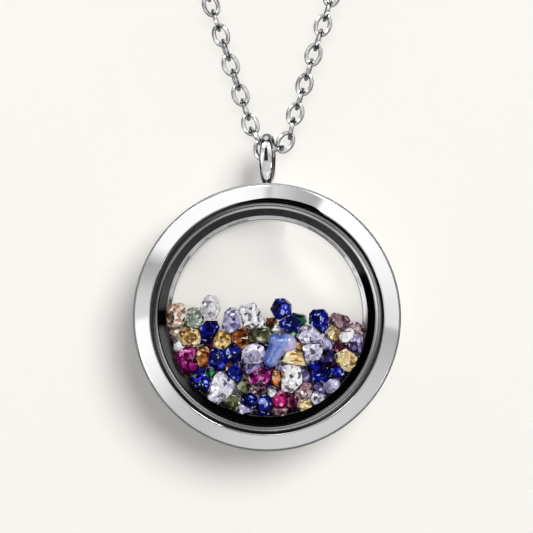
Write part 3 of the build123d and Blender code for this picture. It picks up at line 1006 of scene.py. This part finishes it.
# Streaks of the citrine
streak_slant = 28
streak_scale = (0.35, 1.0, 1.9)
agate_tones = [(0.065, 0.13, 0.50), (0.13, 0.22, 0.62), (0.30, 0.34, 0.70), (0.58, 0.48, 0.68)]
agate_tone_places = (0.0, 0.35, 0.65, 1.0)
agate_slope = -0.45
agate_clouds = 2.2


def streaked(shader, place):
    """Coordinates drawn out along a slant, for a crystal with lengthwise streaks."""
    turn = (0, math.radians(streak_slant), 0)
    values = {"Vector": place, "Rotation": turn, "Scale": streak_scale}
    return shader.made("Mapping", values)[0]


# Painted glints: bright specks in the stone's glint colour
def add_painted_glints(shader, place, colour, glint):
    wander = shader.noise(place, bend_scale, output="Color")
    bent = shader.vector("ADD", place, shader.scaled(wander, glint_bend))
    chance = shader.made("SeparateColor", (shader.voronoi(bent, glint_cells)["Color"],))[0]
    glint_spot = shader.math("GREATER_THAN", chance, 1 - glint_share)
    return shader.mix(shader.math("MULTIPLY", glint_spot, glint_strength), colour, glint)


def gem_material(name, colour, cut, pattern, shift=0.0):
    """Cut stone: its facets and smaller painted inner ones take tones of their own, which stand in for
    reflections inside it, and some mirror.
    """
    cell, mirror, weight, tilt = cut
    deep = colour in deep_colours
    tones = [tuple(part / palette_full for part in tone) for tone in palettes[colour]]
    gloss = deep_gloss if deep else pale_gloss
    material, shader = surface("gem_" + name, Roughness=0.04, IOR=1.5, Specular_IOR_Level=gloss)
    place = shader.scaled(shader.place(), 1 / MM)
    place = shader.vector("ADD", place, [pattern * part for part in pattern_parts])
    if name == "citrine":
        place = streaked(shader, place)
    geometry = shader.made("NewGeometry")
    # Painted inner facets, standing in for reflections inside the stone
    cells = shader.voronoi(place, cell)
    inner, mirror_chance, line_chance = shader.made("SeparateColor", (cells["Color"],))

    plane = shader.vector("DOT_PRODUCT", geometry["True Normal"], facet_mix, output=1)
    facet = shader.math("FRACT", shader.math("MULTIPLY", shader.math("SINE", plane), facet_scatter))
    tone = shader.math("MULTIPLY", facet, weight)
    tone = shader.math("MULTIPLY_ADD", inner, 1 - weight, tone)
    # Painted highlight in each inner facet's core and painted shade at its rim
    depth = shader.steps(cells["Distance"], cell_reach[0], cell_reach[1] / cell, *cell_highlight_and_shade)
    stops = [(at + shift, shade) for at, shade in zip(tone_places, tones)]
    result = shader.ramp(shader.math("ADD", tone, depth), stops)
    if not deep:
        borders = shader.voronoi(place, cell, "DISTANCE_TO_EDGE")["Distance"]
        line = shader.steps(borders, *line_edges, at_low=line_strength, at_high=0.0)
        chosen = shader.math("GREATER_THAN", line_chance, 1 - line_share)
        result = shader.mix(shader.math("MULTIPLY", line, chosen), result, (*tones[1], 1))
    # Painted shade: a dark rim where the stone turns away
    rim = shader.steps(shader.slant(0.5), low=0.5, high=0.95, at_high=0.8)
    result = shader.mix(rim, result, (*tones[0], 1))
    shader.feed("Base Color", add_painted_glints(shader, place, result, (*tones[-1], 1)))

    mirrored = shader.math("GREATER_THAN", mirror_chance, 1 - mirror)
    shader.feed("Metallic", shader.math("MULTIPLY", mirrored, mirror_strength))
    lean = shader.vector("SUBTRACT", cells["Color"], (0.5, 0.5, 0.5))
    normal = shader.vector("ADD", geometry["Normal"], shader.scaled(lean, tilt))
    shader.feed("Normal", shader.vector("NORMALIZE", normal))
    return material


def agate_material():
    """Tumbled chalcedony: milky blue with a lilac end, waxy and smooth."""
    material, shader = surface(
        "agate", Roughness=0.16, IOR=1.54, Coat_Weight=1.0, Coat_Roughness=0.04, Coat_IOR=2.0
    )
    place = shader.scaled(shader.place(), 1 / MM)
    across, _, height = shader.made("SeparateXYZ", (place,))
    up = shader.math("SUBTRACT", height, centre_height / MM)
    slant = shader.math("MULTIPLY_ADD", up, agate_slope, across)
    cloud = shader.math("SUBTRACT", shader.noise(place, scale=0.8, detail=3), 0.5)
    slant = shader.math("MULTIPLY_ADD", cloud, agate_clouds, slant)
    share = shader.steps(slant, low=2.0, high=4.6)
    shader.feed("Base Color", shader.ramp(share, list(zip(agate_tone_places, agate_tones))))
    waves = shader.noise(place, scale=1.6, detail=1)
    shader.feed("Normal", shader.bump(waves, distance=0.3 * MM, strength=0.7))
    return material


# Main stones whose names don't start with the name of their palette
other_names = {
    "orange_left": "amber",
    "lilac_round": "pale_lilac",
    "lilac_large": "pale_lilac",
    "lilac_white_large": "pale_lilac",
    "lilac_right": "pale_lilac",
}
round_colours = ("gold", "sage", "pale_lilac", "sapphire")
# Where the photograph shows small stones: across and up, in hundredths of the chamber's radius
small_places = {
    "peach": [(-89, -15)],
    "clear": [(-86, -28), (-7, -7), (5, -74), (10, -13), (79, -21)],
    "amber": [(-24, -28), (9, -61)],
    "brown": [(4, -7), (-39, -49)],
    "maroon": [(-52, -30), (71, -30)],
    "violet": [(-13, -50), (38, -57), (52, -70)],
    "sapphire": [(-65, -53), (2, -73), (59, -60)],
    "green": [(-56, -56), (31, -3), (26, -16)],
    "olive": [(-23, -68)],
    "mauve": [(-9, -73), (12, -92)],
    "lilac": [(-22, -91), (60, -26)],
    "gold": [(65, -16), (37, -86)],
    "honey": [(31, -29)],
    "pale_lilac": [(50, -80)],
}
rear_colours = ["dusk_blue", "brown", "violet", "maroon", "sapphire", "sage", "mauve", "lilac"]
# Weights of a rear stone's place, across and up, that pick its colour
rear_pick = (7.3, 3.1)
corner_cut = 0.22 * MM
facet_bevel = 0.016 * MM
weld_distance = 0.002 * MM
flat_angle = math.radians(1.5)


def clean_facets(bm):
    """Joins the mesh's split corners and the flat parts of each facet, and eases its edges."""
    bmesh.ops.remove_doubles(bm, verts=bm.verts, dist=weld_distance)
    bmesh.ops.dissolve_limit(bm, angle_limit=flat_angle, verts=bm.verts, edges=bm.edges)
    for parts, cut, kind in ((bm.verts, corner_cut, "VERTICES"), (bm.edges, facet_bevel, "EDGES")):
        bmesh.ops.bevel(bm, geom=list(parts), offset=cut, segments=1, affect=kind, clamp_overlap=True)
    bmesh.ops.recalc_face_normals(bm, faces=bm.faces)


def finish_stone(name, bm, material, replaced):
    mesh = bpy.data.meshes.new(name)
    bm.to_mesh(mesh)
    bm.free()
    mesh.materials.clear()
    mesh.materials.append(material)
    mesh.polygons.foreach_set("use_smooth", [False] * len(mesh.polygons))
    piece = add_object(name, mesh)
    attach(piece, "locket")
    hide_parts(replaced)
    return piece


def main_stone(name, material):
    bm = bmesh.new()
    bm.from_mesh(nodes[name].data)
    clean_facets(bm)
    finish_stone(name + "_cut", bm, material, name)


# Rounded lumps that the tumbled agate is made of: across, up from the locket's centre, radius
agate_lumps = [
    (2.20, -3.10, 1.26), (1.70, -3.10, 1.05), (0.80, -2.66, 0.80), (1.28, -3.40, 1.10),
    (0.95, -3.90, 1.00), (0.66, -4.35, 0.94), (0.40, -4.95, 0.84),
]
agate_forward = 0.35 * MM
agate_flatness = 0.75
agate_grain = 0.07 * MM
agate_tumbling = 60


def make_agate():
    low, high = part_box("agate")
    depth = (low.y + high.y) / 2 - agate_forward
    squash = Matrix.Diagonal((1, agate_flatness, 1, 1))
    bm = bmesh.new()
    for across, up, radius in agate_lumps:
        middle = Matrix.Translation((across * MM, depth, centre_height + up * MM))
        bmesh.ops.create_icosphere(bm, subdivisions=3, radius=radius * MM, matrix=middle @ squash)
    piece = finish_stone("agate_pebble", bm, agate_material(), "agate")
    remesh = piece.modifiers.new("join", "REMESH")
    remesh.mode = "VOXEL"
    remesh.voxel_size = agate_grain
    remesh.use_smooth_shade = True
    smooth = piece.modifiers.new("tumbled", "SMOOTH")
    smooth.factor = 0.5
    smooth.iterations = agate_tumbling


def islands(mesh):
    """The separate solids of a mesh, as lists of faces' corner places."""
    bm = bmesh.new()
    bm.from_mesh(mesh)
    bmesh.ops.remove_doubles(bm, verts=bm.verts, dist=weld_distance)
    left = set(bm.faces)
    groups = []
    for seed in bm.faces:
        if seed not in left:
            continue
        left.remove(seed)
        group, fresh = [seed], [seed]
        while fresh:
            face = fresh.pop()
            for edge in face.edges:
                for other in edge.link_faces:
                    if other in left:
                        left.remove(other)
                        group.append(other)
                        fresh.append(other)
        groups.append([[v.co.copy() for v in face.verts] for face in group])
    bm.free()
    return groups


def scatter(node, prefix, materials, colour_at):
    """Joins a node's small stones of each colour into one piece."""
    groups_by_colour = {}
    for group in islands(nodes[node].data):
        points = [point for face in group for point in face]
        middle = sum(points, Vector()) / len(points)
        groups_by_colour.setdefault(colour_at(middle), []).append(group)
    for colour, groups in groups_by_colour.items():
        bm = bmesh.new()
        for group in groups:
            for face in group:
                bm.faces.new([bm.verts.new(point) for point in face])
        clean_facets(bm)
        finish_stone(prefix + colour, bm, materials[colour], node)


def front_colour(middle):
    """Colour of the small stone that the photograph shows nearest to a place."""
    share = chamber_radius * MM / 100
    place = (middle.x / share, (middle.z - centre_height) / share)
    rows = [(math.dist(at, place), colour) for colour in small_places for at in small_places[colour]]
    return min(rows)[1]


def rear_colour(middle):
    """One of the rear colours, mixed by place."""
    across, up = middle.x / MM, middle.z / MM
    pick = int(abs(across * rear_pick[0] + up * rear_pick[1])) % len(rear_colours)
    return rear_colours[pick]


def make_stones():
    materials, round_materials = {}, {}
    for number, colour in enumerate(palettes):
        cut, shift = (deep_cut, deep_shift) if colour in deep_colours else (pale_cut, 0.0)
        materials[colour] = gem_material(colour, colour, cut, pattern_step * number, shift)
    for colour in round_colours:
        round_materials[colour] = gem_material(colour + "_round", colour, round_cut, round_pattern)
    for name in nodes:
        colour = other_names.get(name) or next((c for c in palettes if name.startswith(c)), None)
        if colour:
            chosen = round_materials if "round" in name else materials
            main_stone(name, chosen[colour])
    make_agate()
    scatter("front_chips", "small_", materials, front_colour)
    scatter("rear_chips", "rear_", materials, rear_colour)


def dress(node, material):
    nodes[node].data.materials.clear()
    nodes[node].data.materials.append(material)


make_camera()
make_world()
make_stage()
make_lights()
steel = mirror_steel("polished_steel")[0]
glass = pane_glass()
dress("clasp", steel)
for name in ("front_glass", "back_glass"):
    dress(name, glass)
make_bezel()
make_back(steel)
spare_key_light(make_chain(chain_steel()))
make_stones()
